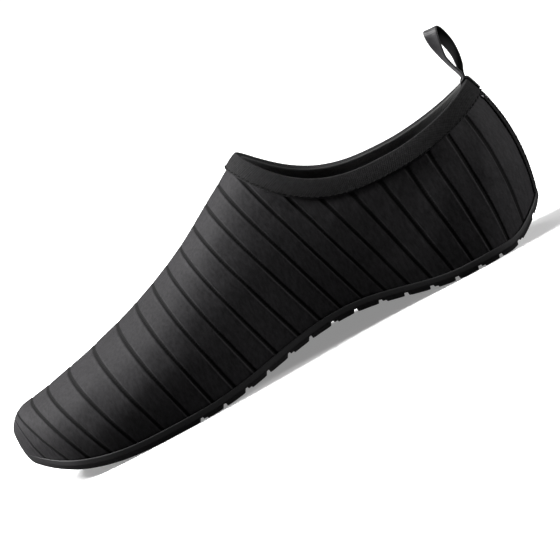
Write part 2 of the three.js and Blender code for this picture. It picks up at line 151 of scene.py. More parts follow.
def middle(along):
    """Side shift of the middle line."""
    return BALL_WIDTH * column("shift", along)


def half_width(along):
    """Half the width at the sole."""
    return BALL_WIDTH * column("width", along) * end_cap(along)


def ridge_height(along):
    """Height of the ridge, which rounds down at the nose of the toe."""
    drop = NOSE_DROP * (1 - round_end(along, NOSE_LENGTH / UPPER_LENGTH))
    return INSTEP_HEIGHT * column("ridge", along) - drop


def floor_height(along, across):
    """Underside of the sole: toe spring + heel rise + arch, less of it on the outer side."""
    toe = TOE_SPRING * np.maximum(1 - along / BALL_FRONT, 0) ** 2.4
    heel = HEEL_RISE * np.maximum((along - HEEL_BACK) / (1 - HEEL_BACK), 0) ** 2
    rise = np.clip((along - ARCH_FRONT) / (ARCH_TOP - ARCH_FRONT), 0, 1)
    fall = np.clip((ARCH_BACK - along) / (ARCH_BACK - ARCH_TOP), 0, 1)
    arch = (1 - np.cos(math.pi * np.minimum(rise, fall))) / 2
    return toe + heel + ARCH_RISE * arch * mix(1, ARCH_OUTSIDE, (across + 1) / 2)


def feather_height(along, side):
    """Height of the bottom edge of the upper."""
    return floor_height(along, side) + FEATHER_RISE


print("half width at the ball, mm:", round(float(half_width(0.3)), 1))

# %% Skin of the last


def place(along, y, z):
    """A point of the last in space. The toe and the heel draw in below and above their widest."""
    toe_share = np.maximum(1 - along / TOE_CUP, 0) ** 2
    heel_share = np.maximum((along - HEEL_CUP) / (1 - HEEL_CUP), 0) ** 2
    toe = TOE_TUCK * np.maximum(1 - z / TOE_WIDEST, 0) * toe_share
    under = HEEL_TUCK * np.maximum(1 - z / HEEL_WIDEST, 0) ** 2
    over = HEEL_LEAN * (np.maximum(z - HEEL_WIDEST, 0) / (HEEL_HEIGHT - HEEL_WIDEST)) ** 2
    x = (along - HEEL_SEAT) * UPPER_LENGTH + toe - (under + over) * heel_share
    return np.stack(np.broadcast_arrays(x, y, z), -1)


def skin(along, side, up):
    """The outside of the upper, for up from 0 at the sole to 1 at the ridge.

    y = middle + crest up² + side (half width (1 - up^full)^(1/full) + bulge sin(π up)),
    z = mix(bottom edge, ridge, up).
    """
    full = column("full", along)
    reach = np.maximum(1 - up**full, 0) ** (1 / full)
    swell = BALL_WIDTH * column("bulge", along) * end_cap(along) * np.sin(math.pi * up)
    crest = BALL_WIDTH * column("crest", along) * up * up
    y = middle(along) + crest + side * (half_width(along) * reach + swell)
    return place(along, y, mix(feather_height(along, side), ridge_height(along), up))


def up_at_height(along, side, z):
    """The up that has height z."""
    low = feather_height(along, side)
    return np.clip((z - low) / (ridge_height(along) - low), 0, 1)


print("top of the instep, mm:", skin(THROAT, 1.0, 1.0).round(1).tolist())

# %% Line of the collar


def collar_front(drop):
    """Where a line that runs drop below the collar's edge crosses the ridge."""
    return THROAT - drop * COLLAR_SLOPE / UPPER_LENGTH


def collar_height(along, drop=0.0):
    """Height of that line: cubic from the throat to the ankle, power 1.7 up to the heel."""
    front, low = collar_front(drop), ANKLE_HEIGHT - drop
    ahead = np.clip((ANKLE - along) / (ANKLE - front), 0, 1)
    behind = np.clip((along - ANKLE) / (1 - ANKLE), 0, 1)
    rise = (ridge_height(front) - low) * ahead**3
    return low + rise + (HEEL_HEIGHT - ANKLE_HEIGHT) * behind**1.7


print("collar over the heel, mm:", round(float(collar_height(1.0)), 1))

# %% Spacing and searching


def even(curve, count, low=0.0, high=1.0):
    """count + 1 values between low and high whose points on the curve are evenly far apart."""
    fine = mix(low, high, (1 - np.cos(np.linspace(0, math.pi, 4001))) / 2)
    step = np.linalg.norm(np.diff(curve(fine), axis=0), axis=1)
    way = np.concatenate([[0], np.cumsum(step)])
    return np.interp(np.linspace(0, way[-1], count + 1), way, fine)


def halving(past, low, high):
    """The places between low and high from which past holds, found by halving fifty times."""
    for _ in range(50):
        centre = (low + high) / 2
        there = past(centre)
        low, high = np.where(there, low, centre), np.where(there, centre, high)
    return (low + high) / 2


print("ridge at the throat, mm:", round(float(ridge_height(np.array(THROAT))), 2))

# %% [markdown]
# ## Meshes from grids
# Every surface here is a grid: rows of points and the quads between them. numpy makes the corner
# numbers of all quads at once, and Blender takes them in one call. The normals are worked out
# before the mesh exists, so that seams can be pressed in and dents pushed in along them.

# %% Quads and normals


def band(low, high, closed=True):
    """Quads between two rows of corner numbers, facing out where the second row is above."""
    a, b, c, d = low, np.roll(low, -1), np.roll(high, -1), high
    quads = np.stack([a, b, c, d], -1)
    return quads if closed else quads[:-1]


def bands(rows, closed=True):
    """The quads between all neighbouring rows of a grid of corner numbers."""
    return np.concatenate([band(low, high, closed) for low, high in zip(rows[:-1], rows[1:])])


def normals(points, quads):
    """Unit sum of the cross products of the diagonals of the quads round each corner."""
    a, b, c, d = (points[quads[:, k]] for k in range(4))
    area = np.cross(c - a, d - b)
    total = np.zeros_like(points)
    for k in range(4):
        np.add.at(total, quads[:, k], area)
    return unit(total)


print("quads of a small grid:", bands(np.arange(6).reshape(2, 3), closed=False).tolist())

# %% Mesh objects


def mesh_piece(name, points, quads, material, cloth=None, marks=None, sharp=None):
    """A mesh object from points in millimetres, its quads, a material and what the material reads.

    Corners that a quad has twice are dropped, so that a row may shrink to one point.
    """
    faces = [tuple(dict.fromkeys(quad)) for quad in quads.tolist()]
    faces = [face for face in faces if len(face) > 2]
    mesh = bpy.data.meshes.new(name)
    mesh.from_pydata((points / 1000).tolist(), [], faces)
    mesh.shade_smooth()
    if sharp is not None:
        mesh.set_sharp_from_angle(angle=math.radians(sharp))
    if cloth is not None:
        corners = np.empty(len(mesh.loops), np.int32)
        mesh.loops.foreach_get("vertex_index", corners)
        layer = mesh.uv_layers.new(name="cloth")
        layer.data.foreach_set("uv", (cloth[corners] / 1000).astype(np.float32).ravel())
    for mark, values in (marks or {}).items():
        layer = mesh.attributes.new(mark, "FLOAT", "POINT")
        layer.data.foreach_set("value", values.astype(np.float32))
    mesh.materials.append(material)
    piece = bpy.data.objects.new(name, mesh)
    bpy.context.scene.collection.objects.link(piece)
    triangles = sum(len(face) - 2 for face in faces)
    print(f"{name}: {len(points)} points, {triangles} triangles")
    return piece


print("meshes so far:", len(bpy.data.meshes))

# %% Rings


def ring_corners(count):
    """Stations and sides of a ring: toe, inner side, heel, outer side, as count stations a side."""
    station = np.concatenate([np.arange(count + 1), np.arange(count - 1, 0, -1)])
    side = np.where(np.arange(2 * count) <= count, -1.0, 1.0)
    return station, side


def outward_in_plan(line):
    """Level unit vectors that point out of a closed ring."""
    way = np.roll(line, -1, 0) - np.roll(line, 1, 0)
    return unit(np.stack([way[:, 1], -way[:, 0], 0 * way[:, 0]], -1))


def ring(stations, rise, out):
    """Ring at a rise over the upper's bottom edge, moved outwards in plan."""
    station, side = ring_corners(len(stations) - 1)
    along = stations[station]
    z = feather_height(along, side) + rise
    up = up_at_height(along, side, z)
    low = place(along, middle(along) + side * half_width(along), z)
    line = skin(along, side, up) if rise > 0 else low
    return line + outward_in_plan(line) * out


def ring_length(line):
    """Length of a closed line of points."""
    return float(np.linalg.norm(np.roll(line, -1, 0) - line, axis=1).sum())


bottom_edge = ring(np.linspace(0, 1, 401), 0.0, 0.0)
print("bottom edge of the upper, mm:", round(ring_length(bottom_edge), 1))

# %% [markdown]
# ## Materials
# A shader is a formula. Instead of placing dozens of nodes by hand, a small class wraps a socket,
# so that + and * between two of them add the Math node and its links. Colours and directions go
# through Mix and Vector Math nodes. One method adds any other node.

# %% Arithmetic of sockets


class Socket:
    """An output of a node, with the arithmetic of Python."""

    def __init__(self, paint, output):
        self.paint = paint
        self.output = output

    def math(self, operation, *values):
        """The Math node of that operation on the values."""
        inputs = dict(enumerate(values))
        return self.paint.node("ShaderNodeMath", {"operation": operation}, inputs)

    def __add__(self, other):
        return self.math("ADD", self, other)

    def __radd__(self, other):
        return self.math("ADD", other, self)

    def __mul__(self, other):
        return self.math("MULTIPLY", self, other)

    def __rmul__(self, other):
        return self.math("MULTIPLY", other, self)

    def sine(self):
        """sin of the value."""
        return self.math("SINE", self)


print("arithmetic:", [name for name in dir(Socket) if "add" in name or "mul" in name])

# %% A material and its nodes


class Paint:
    """A material with one Principled shader."""

    def __init__(self, name, **constants):
        self.material = bpy.data.materials.new(name)
        self.material.use_nodes = True
        self.tree = self.material.node_tree
        self.shader = self.tree.nodes["Principled BSDF"]
        for key, value in constants.items():
            self.shader.inputs[key.replace("_", " ")].default_value = value

    def put(self, socket, value):
        """Links a Socket to an input, or sets a plain value on it."""
        if isinstance(value, Socket):
            self.tree.links.new(value.output, socket)
        else:
            socket.default_value = value

    def node(self, kind, settings=None, inputs=None, output=0):
        """Any node: its type, its settings, then its inputs by name or number."""
        node = self.tree.nodes.new(kind)
        for key, value in (settings or {}).items():
            setattr(node, key, value)
        for key, value in (inputs or {}).items():
            self.put(node.inputs[key], value)
        return Socket(self, node.outputs[output])

    def set(self, name, value):
        """One input of the shader."""
        self.put(self.shader.inputs[name], value)

    def place(self):
        """Object coordinates, in metres."""
        return self.node("ShaderNodeTexCoord", output="Object")

    def cloth(self, scale):
        """The piece's own cloth map, in units of scale millimetres."""
        uv = self.node("ShaderNodeUVMap", {"uv_map": "cloth"})
        settings, k = {"operation": "SCALE"}, 1000 / scale
        return self.node("ShaderNodeVectorMath", settings, {0: uv, "Scale": k})

    def mark(self, name):
        """A value stored on each corner of the mesh."""
        return self.node("ShaderNodeAttribute", {"attribute_name": name}, output="Fac")

    def parts(self, vector):
        """The x and y of a vector."""
        node = self.node("ShaderNodeSeparateXYZ", None, {0: vector}).output.node
        return Socket(self, node.outputs[0]), Socket(self, node.outputs[1])

    def noise(self, vector, size, detail=3.0):
        """Noise from 0 to 1 with lumps of that many millimetres on Object coordinates."""
        inputs = {"Vector": vector, "Scale": 1000 / size, "Detail": detail}
        return self.node("ShaderNodeTexNoise", None, inputs)

    def blend(self, first, second, factor):
        """Colour mix(first, second, factor)."""
        settings = {"data_type": "RGBA"}
        inputs = {0: factor, 6: first, 7: second}
        return self.node("ShaderNodeMix", settings, inputs, output=2)

    def spread(self, value, low, high):
        """The value stretched so that low becomes 0 and high becomes 1."""
        inputs = {"Value": value, "From Min": low, "From Max": high}
        return self.node("ShaderNodeMapRange", None, inputs)

    def bump(self, height, depth, strength=1.0, normal=None):
        """Bump of a height from 0 to 1 that stands depth millimetres out."""
        inputs = {"Height": height, "Distance": depth / 1000, "Strength": strength}
        if normal:
            inputs["Normal"] = normal
        return self.node("ShaderNodeBump", None, inputs)

    def report(self):
        """Prints how many nodes the material has."""
        print(f"{self.material.name}: {len(self.tree.nodes)} nodes")


print("materials so far:", len(bpy.data.materials))

# %% Colours


def grey(value):
    """A near-neutral colour, a touch violet as dyed black is."""
    return (value, value * 0.95, value * 1.03, 1.0)


def even_grey(value):
    """A neutral colour."""
    return (value, value, value, 1.0)


print("a dark dye, as red, green, blue, alpha:", [round(c, 4) for c in grey(0.02)])

# %% [markdown]
# ### Stretch fabric
# The upper is a dyed and brushed knit, nearly black and matt, with a faint sheen along the top of
# the foot. A picture of cloth could be wrapped round it, but it would show a seam, and its light
# would stay as it was taken. Here noise stretched one way gives the nap, two sine waves give the
# knit, and a mark on the mesh tells where the pressed lines are, which are darker and ribbed.

# %% Fabric of the upper
fabric = Paint(
    "stretch fabric",
    Roughness=0.72,
    Specular_IOR_Level=0.12,
    Sheen_Weight=0.03,
    Sheen_Roughness=0.35,
)
wale, course = fabric.parts(fabric.cloth(0.9))
knit = (wale * math.tau).sine() * (course * math.tau * 1.25).sine() * 0.5 + 0.5
brushed = fabric.node("ShaderNodeMapping", None, {
    "Vector": fabric.place(), "Rotation": (0.0, 0.6, 0.0), "Scale": (1.0, 1.0, 0.4)
})
nap = fabric.noise(brushed, 1.3, 5.0)
fleck = fabric.noise(fabric.place(), 0.6, 2.0)
cloudy = fabric.noise(fabric.place(), 38.0, 2.0)
pressed = fabric.mark("stripe")
rib_up = fabric.parts(fabric.cloth(1.3))[1]
rib = (rib_up * math.tau).sine() * 0.5 + 0.5
tone = fabric.spread(nap * 0.6 + fleck * 0.25 + cloudy * 0.15, 0.34, 0.66)
body = fabric.blend(grey(0.0075), grey(0.0225), tone)
groove = fabric.blend(grey(0.0006), grey(0.003), rib)
fabric.set("Base Color", fabric.blend(body, groove, pressed))
fabric.set("Roughness", 0.66 + 0.1 * nap + 0.12 * pressed)
grain = fabric.bump(knit * 0.4 + nap * 0.35 + fleck * 0.25, 0.14, 0.7)
fabric.set("Normal", fabric.bump(rib * pressed, 0.12, 0.5, grain))
fabric.report()

# %% [markdown]
# ### Tape, ribbon, rubber, insole and thread
# The tape is woven from thick yarn, so it is darker and rougher than the knit. The ribbon is
# satin, with a fine twill and a softer gloss. The rubber is smooth from its mould, with some dust
# and wear, and the insole is covered with an open mesh. Pictures of each would blur close up, and
# a few waves and noises stay sharp at any distance.

# %% Woven tape
tape = Paint(
    "woven tape",
    Roughness=0.8,
    Specular_IOR_Level=0.15,
    Sheen_Weight=0.03,
    Sheen_Roughness=0.5,
)
tape_along, tape_across = tape.parts(tape.cloth(1.1))
weave = (tape_along * math.tau + tape_across * 3.0).sine() * (tape_across * math.tau * 0.9).sine()
speck = tape.noise(tape.place(), 1.6, 3.0)
tape_tone = tape.blend(grey(0.002), grey(0.0095), tape.spread(weave * 0.1 + speck, 0.3, 0.7))
# The tape's inner face is painted lighter: painted light on the inside of the collar, where the
# lamps reach too little.
tape.set("Base Color", tape.blend(tape_tone, even_grey(0.055), tape.mark("inner")))
tape.set("Normal", tape.bump(weave * 0.5 + speck, 0.2, 0.8))
tape.report()

# %% Satin ribbon
ribbon = Paint(
    "satin ribbon",
    Roughness=0.5,
    Specular_IOR_Level=0.3,
    Sheen_Weight=0.1,
    Sheen_Roughness=0.35,
    Anisotropic=0.5,
)
ribbon_along, ribbon_across = ribbon.parts(ribbon.cloth(0.7))
twill = ((ribbon_along + ribbon_across * 0.6) * math.tau).sine() * 0.5 + 0.5
thread_noise = ribbon.noise(ribbon.place(), 1.2, 2.0)
satin = ribbon.blend(grey(0.01), grey(0.024), twill * 0.5 + thread_noise * 0.5)
# One face of the ribbon is painted darker: painted shade for the inside of the loop.
ribbon.set("Base Color", ribbon.blend(satin, grey(0.003), ribbon.mark("under")))
ribbon.set("Normal", ribbon.bump(twill, 0.08, 0.5))
ribbon.report()

# %% Rubber and insole cloth
rubber = Paint("moulded rubber", Roughness=0.55, Specular_IOR_Level=0.4)
dust = rubber.noise(rubber.place(), 2.5, 4.0)
wear = rubber.noise(rubber.place(), 24.0, 2.0)
rubber.set("Base Color", rubber.blend(grey(0.0085), grey(0.016), wear * 0.6 + dust * 0.4))
rubber.set("Roughness", 0.48 + 0.2 * dust)
rubber.set("Normal", rubber.bump(dust, 0.05, 0.4))

foam = Paint(
    "insole cloth",
    Roughness=0.9,
    Specular_IOR_Level=0.15,
    Sheen_Weight=0.08,
    Sheen_Roughness=0.5,
)
mesh_along, mesh_across = foam.parts(foam.cloth(1.6))
holes = (mesh_along * math.tau).sine() * (mesh_across * math.tau).sine()
foam.set("Base Color", foam.blend(grey(0.006), grey(0.017), holes * 0.5 + 0.5))
foam.set("Normal", foam.bump(holes, 0.2, 0.6))
rubber.report()
foam.report()

# %% Threads
thread = Paint("sewing thread", Roughness=0.75, Specular_IOR_Level=0.1)
thread.set("Base Color", thread.blend(grey(0.0015), grey(0.006), thread.noise(thread.place(), 2.0)))

bar_thread = Paint("white thread", Roughness=0.6)
bar_noise = bar_thread.noise(bar_thread.place(), 1.0)
bar_thread.set("Base Color", bar_thread.blend(grey(0.35), grey(0.55), bar_noise))
print("materials:", [m.name for m in bpy.data.materials])

# %% [markdown]
# ## The upper
# The fabric has dark lines pressed into it, which lean towards the toe as they rise. A texture
# could draw them, but their edges would stay blurred and flat. Here the columns of the grid follow
# the lines, so that a few columns can sink by a third of a millimetre and the edge stays crisp.

# %% Lines of the upper

# Foot of each pressed line, in mm from the toe, and how far it leans to the toe for each mm up.
LINES = np.array([
    (10.5, 0.24), (20.9, 0.48), (30.4, 0.43), (40.6, 0.42), (52.3, 0.36), (66.0, 0.3), (79.4, 0.25),
    (91.6, 0.235), (103.3, 0.235), (114.9, 0.26), (127.0, 0.29), (139.8, 0.32), (151.6, 0.33),
    (162.6, 0.33), (173.5, 0.33), (184.1, 0.33), (194.9, 0.32), (205.2, 0.27), (215.5, 0.2),
    (225.7, 0.135), (236.0, 0.105), (246.2, 0.067), (257.2, 0.045),
])
# Columns of the grid across each line, in mm from its middle.
LINE_OFFSETS = np.array([-2.0, -1.45, -1.12, -0.88, -0.62, 0.0, 0.62, 0.88, 1.12, 1.4, 1.9])
LINE_HALF, LINE_DEPTH, LIP = 0.9, 0.32, 0.14
ROWS_OUT, ROWS_IN, ROW_EASE = 60, 20, 0.35
print("pressed lines:", len(LINES))

# %% Columns of the grid
foot = (LINES[:, 0] - 1.0) / UPPER_LENGTH


def lean(along):
    """Lean of the pressed lines, 0 at the toe and at the heel."""
    return np.interp(along, [0, *foot, 1], [0, *LINES[:, 1], 0])


def foot_line(along):
    """The bottom edge of the upper on the inner side, in plan."""
    return np.stack([along * UPPER_LENGTH, half_width(along)], -1)


fine = (1 - np.cos(np.linspace(0, math.pi, 8001))) / 2
fine_step = np.linalg.norm(np.diff(foot_line(fine), axis=0), axis=1)
fine_way = np.concatenate([[0], np.cumsum(fine_step)])
line_way = np.interp(foot, fine, fine_way)


def ridge_crossing(start):
    """Where a line that starts at the foot crosses the ridge: s = start - lean (z(s) - z) / L."""
    s = start
    for _ in range(30):
        rise = ridge_height(s) - feather_height(start, -1.0)
        s = np.clip(start - lean(start) * rise / UPPER_LENGTH, 0, 1)
    return s


throat_foot = float(halving(lambda s: ridge_crossing(s) >= THROAT, 0.5, 0.8))
throat_way = np.interp(throat_foot, fine, fine_way)
dense = (line_way[:, None] + LINE_OFFSETS).ravel()
plain = np.linspace(0, fine_way[-1], 240)
gap = np.abs(plain[:, None] - line_way).min(1)
ways = np.concatenate([plain[gap > LINE_OFFSETS.max() + 0.4], dense])
ways = np.sort(np.append(ways[np.abs(ways - throat_way) > 0.25], throat_way))
starts = np.interp(ways, fine_way, fine)
starts[0], starts[-1] = 0.0, 1.0
throat_column = int(np.argmin(np.abs(ways - throat_way)))
starts[throat_column] = throat_foot
print("columns a side:", len(starts), "throat column:", throat_column)

# %% Grid of each side


def line_top(start, side):
    """Where a line ends at the top: on the ridge before the throat, behind it on the collar."""

    def past(at):
        """True where at lies behind the line, at the collar's height."""
        rise = collar_height(at) - feather_height(start, -1.0)
        return at - start + lean(start) * rise / UPPER_LENGTH > 0

    crossing = halving(past, np.full_like(start, THROAT), np.ones_like(start))
    on_collar = np.arange(len(start)) > throat_column
    top = np.where(on_collar, crossing, ridge_crossing(start))
    top[throat_column], top[-1] = THROAT, 1.0
    up = np.where(on_collar, up_at_height(top, side, collar_height(top)), 1.0)
    return top, up


def upper_side(side):
    """Grid of one side, as ROWS_OUT + 1 rows of points.

    Row r of R has t = r/R + ease sin(π r/R)/π, which draws the rows closer towards the top, and
    up = sin(t asin(top^(full/2)))^(2/full). The s of a point solves
    s = start - lean (z(s, up) - z(start)) / L.
    """
    top, top_up = line_top(starts, side)
    full = column("full", top)
    share = np.linspace(0, 1, ROWS_OUT + 1)[:, None]
    share = share + ROW_EASE * np.sin(math.pi * share) / math.pi
    turn = np.arcsin(np.clip(top_up ** (full / 2), 0, 1)) * share
    up = np.sin(turn) ** (2 / full)
    up[-1] = top_up
    s = np.broadcast_to(starts, up.shape)
    for _ in range(30):
        z = mix(feather_height(s, side), ridge_height(s), up)
        rise = z - feather_height(starts, -1.0)
        s = np.clip(starts - lean(starts) * rise / UPPER_LENGTH, 0, 1)
    s = s.copy()
    s[-1] = top
    s[:, 0], s[:, -1] = 0.0, 1.0
    return skin(s, side, up)


inner_side, outer_side = upper_side(-1.0), upper_side(1.0)
print("rows, columns and coordinates a side:", inner_side.shape)

# %% Corner numbers of the outer skin
count = len(starts) - 1
ring_size = 2 * count
points = np.concatenate([inner_side, outer_side[:, count - 1:0:-1]], axis=1)
corner = np.arange(points.shape[0] * ring_size).reshape(points.shape[0], ring_size)
mirror = ring_size - np.arange(1, throat_column + 1)
corner[-1, mirror] = corner[-1, np.arange(1, throat_column + 1)]
points = points.reshape(-1, 3)
outer_quads = bands(corner)
outward = normals(points, outer_quads)

station, side_of = ring_corners(count)
column_way = ways[station]
along_way = np.tile(column_way, points.shape[0] // ring_size)
rows_up = np.linalg.norm(np.diff(points.reshape(-1, ring_size, 3), axis=0), axis=2)
up_way = np.concatenate([np.zeros((1, ring_size)), np.cumsum(rows_up, axis=0)]).ravel()
cloth_map = np.stack([along_way, up_way], -1)
print("grid of the outer skin:", corner.shape)

# %% [markdown]
# Stretch fabric on an empty shoe is never quite even. It gives a little over the ball of the foot
# and at the ankle, and the heel buckles softly where the fabric is pressed between the sole and
# the collar. Each of these is one soft trough or ridge, listed one by one, so that it can be moved.

# %% Soft troughs and ridges

# x and z of the middle in mm, side, half its length and width in mm, turn in degrees, depth in mm.
DENTS = [
    (8.0, 40.0, -1, 26.0, 7.0, 62.0, 0.75),
    (19.0, 46.0, -1, 20.0, 5.0, 70.0, -0.5),
    (-16.0, 42.0, -1, 24.0, 8.0, 50.0, 0.55),
    (-38.0, 34.0, -1, 26.0, 9.0, 38.0, 0.5),
    (-62.0, 44.0, -1, 30.0, 11.0, 28.0, -0.45),
    (-100.0, 30.0, -1, 34.0, 12.0, 18.0, 0.4),
    (-150.0, 26.0, -1, 26.0, 9.0, -12.0, -0.4),
    (-192.0, 24.0, -1, 18.0, 8.0, 30.0, 0.35),
    (6.0, 42.0, 1, 24.0, 7.0, 60.0, 0.7),
    (-20.0, 38.0, 1, 26.0, 8.0, 44.0, 0.55),
    (-70.0, 36.0, 1, 34.0, 11.0, 24.0, 0.5),
    (-140.0, 28.0, 1, 30.0, 11.0, -8.0, -0.4),
]


def dents(at, side):
    """Sum of depth · exp(-(a/length)² - (b/width)²), a and b measured along and across each."""
    total = np.zeros(len(at))
    for x, z, which, length, width, turn, depth in DENTS:
        c, s = math.cos(math.radians(turn)), math.sin(math.radians(turn))
        dx, dz = at[:, 0] - x, at[:, 2] - z
        a, b = dx * c + dz * s, dz * c - dx * s
        total += (side == which) * depth * np.exp(-((a / length) ** 2) - (b / width) ** 2)
    return total


row_of = np.repeat(np.arange(ROWS_OUT + 1), ring_size)
side_all = np.tile(side_of, ROWS_OUT + 1)
# The sole and the collar hold the fabric, so the dents fade out towards both.
held = smooth(0, 12, row_of) * (1 - smooth(ROWS_OUT - 14, ROWS_OUT - 2, row_of))
# Faint waves, 9 to 26 mm long, in random directions.
WAVES, WAVE_DEPTH = 14, 0.03
seed = np.random.default_rng(7)
waves = np.zeros(len(points))
for _ in range(WAVES):
    direction = unit(seed.normal(size=3)) / seed.uniform(9, 26)
    waves += WAVE_DEPTH * np.sin(points @ direction * math.tau + seed.uniform(0, math.tau))
sink = (dents(points, side_all) + waves) * held

# Each line sinks with steep walls and has a low lip on its toe side. It fades towards the ridge,
# so that the outline stays smooth.
signed = along_way - line_way[np.abs(along_way[:, None] - line_way).argmin(1)]
pressed_in = 1 - smooth(LINE_HALF - 0.25, LINE_HALF + 0.2, np.abs(signed))
lip = LIP * np.exp(-(((signed + LINE_HALF + 0.55) / 0.35) ** 2))
press = (LINE_DEPTH * pressed_in - lip) * (1 - 0.7 * smooth(ROWS_OUT - 16, ROWS_OUT - 3, row_of))

shape = points - outward * sink[:, None]
outer_points = shape - outward * press[:, None]
print("deepest trough and highest ridge, mm:", round(sink.max(), 2), round(sink.min(), 2))

# %% Inner skin and edges
keep_rows = np.linspace(0, ROWS_OUT, ROWS_IN + 1).astype(int)
level = outward.copy()
level[corner[0], 2] = 0
inward = unit(level)
inner_rows = corner[keep_rows]
inner_used, inner_index = np.unique(inner_rows, return_inverse=True)
inner_corner = inner_index.reshape(inner_rows.shape) + len(points)
inner_points = (shape - inward * WALL)[inner_used]
all_points = np.concatenate([outer_points, inner_points])
rim_outer = corner[-1, throat_column:ring_size - throat_column + 1]
rim_inner = inner_corner[-1, throat_column:ring_size - throat_column + 1]
rim_outer = np.append(rim_outer[:-1], rim_outer[0])
rim_inner = np.append(rim_inner[:-1], rim_inner[0])
quads = np.concatenate([
    outer_quads,
    bands(inner_corner)[:, ::-1],
    band(inner_corner[0], corner[0]),
    band(rim_outer, rim_inner, closed=False),
])
marks = np.concatenate([pressed_in, np.zeros(len(inner_points))])
cloth_all = np.concatenate([cloth_map, cloth_map[inner_used]])
upper = mesh_piece(
    "upper_fabric", all_points, quads, fabric.material, cloth_all, {"stripe": marks}
)
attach(upper, "root")
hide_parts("upper")

# %% [markdown]
# ## The outsole
# The sole is one rubber moulding: lugs below, a thin plate, and a rim that wraps the bottom edge
# of the upper. Boolean cuts would leave ragged shading at each notch. As the notches run across,
# it is enough to lift the underside of the same grid wherever a notch is, with close columns at
# both of its walls.

# %% Notches and treads
first = math.ceil((FIRST_NOTCH - HEEL_SEAT) * UPPER_LENGTH / LUG_PITCH - 0.5)
last = math.floor((LAST_NOTCH - HEEL_SEAT) * UPPER_LENGTH / LUG_PITCH - 0.5)
notch_number = np.arange(first, last + 1)
notch_x = (notch_number + 0.5) * LUG_PITCH
# Columns beside both walls of a notch, and then beside the end of its ledge, in mm from its middle.
WALL_OFFSETS = [-1.9, -1.35, -1.1, -0.98, -0.86, -0.6, 0.0, 0.6, 0.86, 0.98, 1.1, 1.35]
STEP_OFFSETS = [1.9, 2.5, 2.7, 2.82, 2.94, 3.2, 3.7]


def notch_lift(along):
    """How far the underside is lifted: the notch between soft walls, a ledge behind every other
    notch, and the lugs' own rounded edges."""
    x = (along - HEEL_SEAT) * UPPER_LENGTH
    at = np.argmin(np.abs(x[:, None] - notch_x), axis=1)
    d = x - notch_x[at]
    half = NOTCH_WIDTH / 2
    cut = NOTCH_DEPTH * (1 - smooth(half - 0.16, half + 0.16, np.abs(d)))
    end = half + STEP_WIDTH
    ledge = STEP_DEPTH * (1 - smooth(end - 0.14, end + 0.14, d)) * (d > 0)
    ledge = ledge * (np.abs(notch_number[at]) % 2 == 1)
    crown = 0.16 * (1 - smooth(half, half + 1.6, np.abs(d)))
    return np.maximum(np.maximum(cut, ledge), crown)


plain_stations = even(foot_line, 170)
extra = (notch_x[:, None] + np.array(WALL_OFFSETS + STEP_OFFSETS)).ravel()
extra = extra / UPPER_LENGTH + HEEL_SEAT
extra = extra[(extra > 0.03) & (extra < 0.992)]
spread = np.abs(plain_stations[:, None] - extra).min(1) * UPPER_LENGTH
sole_stations = np.sort(np.concatenate([plain_stations[spread > 0.25], extra]))
sole_stations = sole_stations[np.concatenate([[True], np.diff(sole_stations) > 1e-5])]
if sole_stations[0] > 0:
    sole_stations = np.concatenate([[0.0], sole_stations])
if sole_stations[-1] < 1:
    sole_stations = np.concatenate([sole_stations, [1.0]])
print("stations of the sole:", len(sole_stations), "notches:", len(notch_x))

# %% Rings of the outsole
sole_count = len(sole_stations) - 1
sole_station = ring_corners(sole_count)[0]
lift = notch_lift(sole_stations)[sole_station]
out = SEAM + RIM
ROUND = 0.55
bend = np.radians(np.array([0, 22, 45, 68, 90]))
# Rise over the upper's bottom edge and distance off it, in mm.
profile = [
    (-FEATHER_RISE, out - LUG_INSET - LUG_TAPER - 0.25),
    (-FEATHER_RISE + 0.22, out - LUG_INSET - LUG_TAPER + 0.05),
    (-FEATHER_RISE + LUG_DEPTH - 0.2, out - LUG_INSET - 0.05),
    (-FEATHER_RISE + LUG_DEPTH, out - LUG_INSET + 0.1),
    (-FEATHER_RISE + LUG_DEPTH + 0.05, out - 0.15),
    (-FEATHER_RISE + LUG_DEPTH + 0.25, out),
    (-0.6, out + 0.06),
]
profile += [
    (RIM_RISE + ROUND * (math.sin(b) - 1), out + ROUND * (math.cos(b) - 1)) for b in bend
]
profile += [(RIM_RISE - 0.05, SEAM + 0.1), (RIM_RISE - 0.4, SEAM), (-SEAM, SEAM)]
sole_rings = []
# At the very toe the rim thins out, so that it doesn't stand out like a beak.
toe_thin = smooth(0.0, 0.11, sole_stations)[sole_station]
for rise, by in profile:
    line = ring(sole_stations, rise, by)
    thin = (1 - toe_thin) * max(0.85 * by - 0.1, 0)
    line -= thin[:, None] * outward_in_plan(line)
    line[:, 2] += np.maximum(lift - (rise + FEATHER_RISE), 0)
    sole_rings.append(line)
ring_total = 2 * sole_count
sole_corner = np.arange(len(profile) * ring_total).reshape(len(profile), ring_total)
print("rings of the outsole:", sole_corner.shape)

# %% Outsole mesh


def fill_grid(line, stations, lines_across, first_corner):
    """Points and corner numbers of a grid that fills a ring from the inner to the outer side."""
    n = len(stations) - 1
    share = np.linspace(0, 1, lines_across + 2)
    inner, outer = np.arange(1, n), 2 * n - np.arange(1, n)
    inside = mix(line[inner][:, None], line[outer][:, None], share[1:-1][None, :, None])
    number = np.arange(inside.shape[0] * lines_across).reshape(n - 1, lines_across) + first_corner
    grid = np.concatenate([inner[:, None], number, outer[:, None]], axis=1)
    ends = [np.full((1, lines_across + 2), k) for k in (0, n)]
    return inside, np.concatenate([ends[0], grid, ends[1]]), share


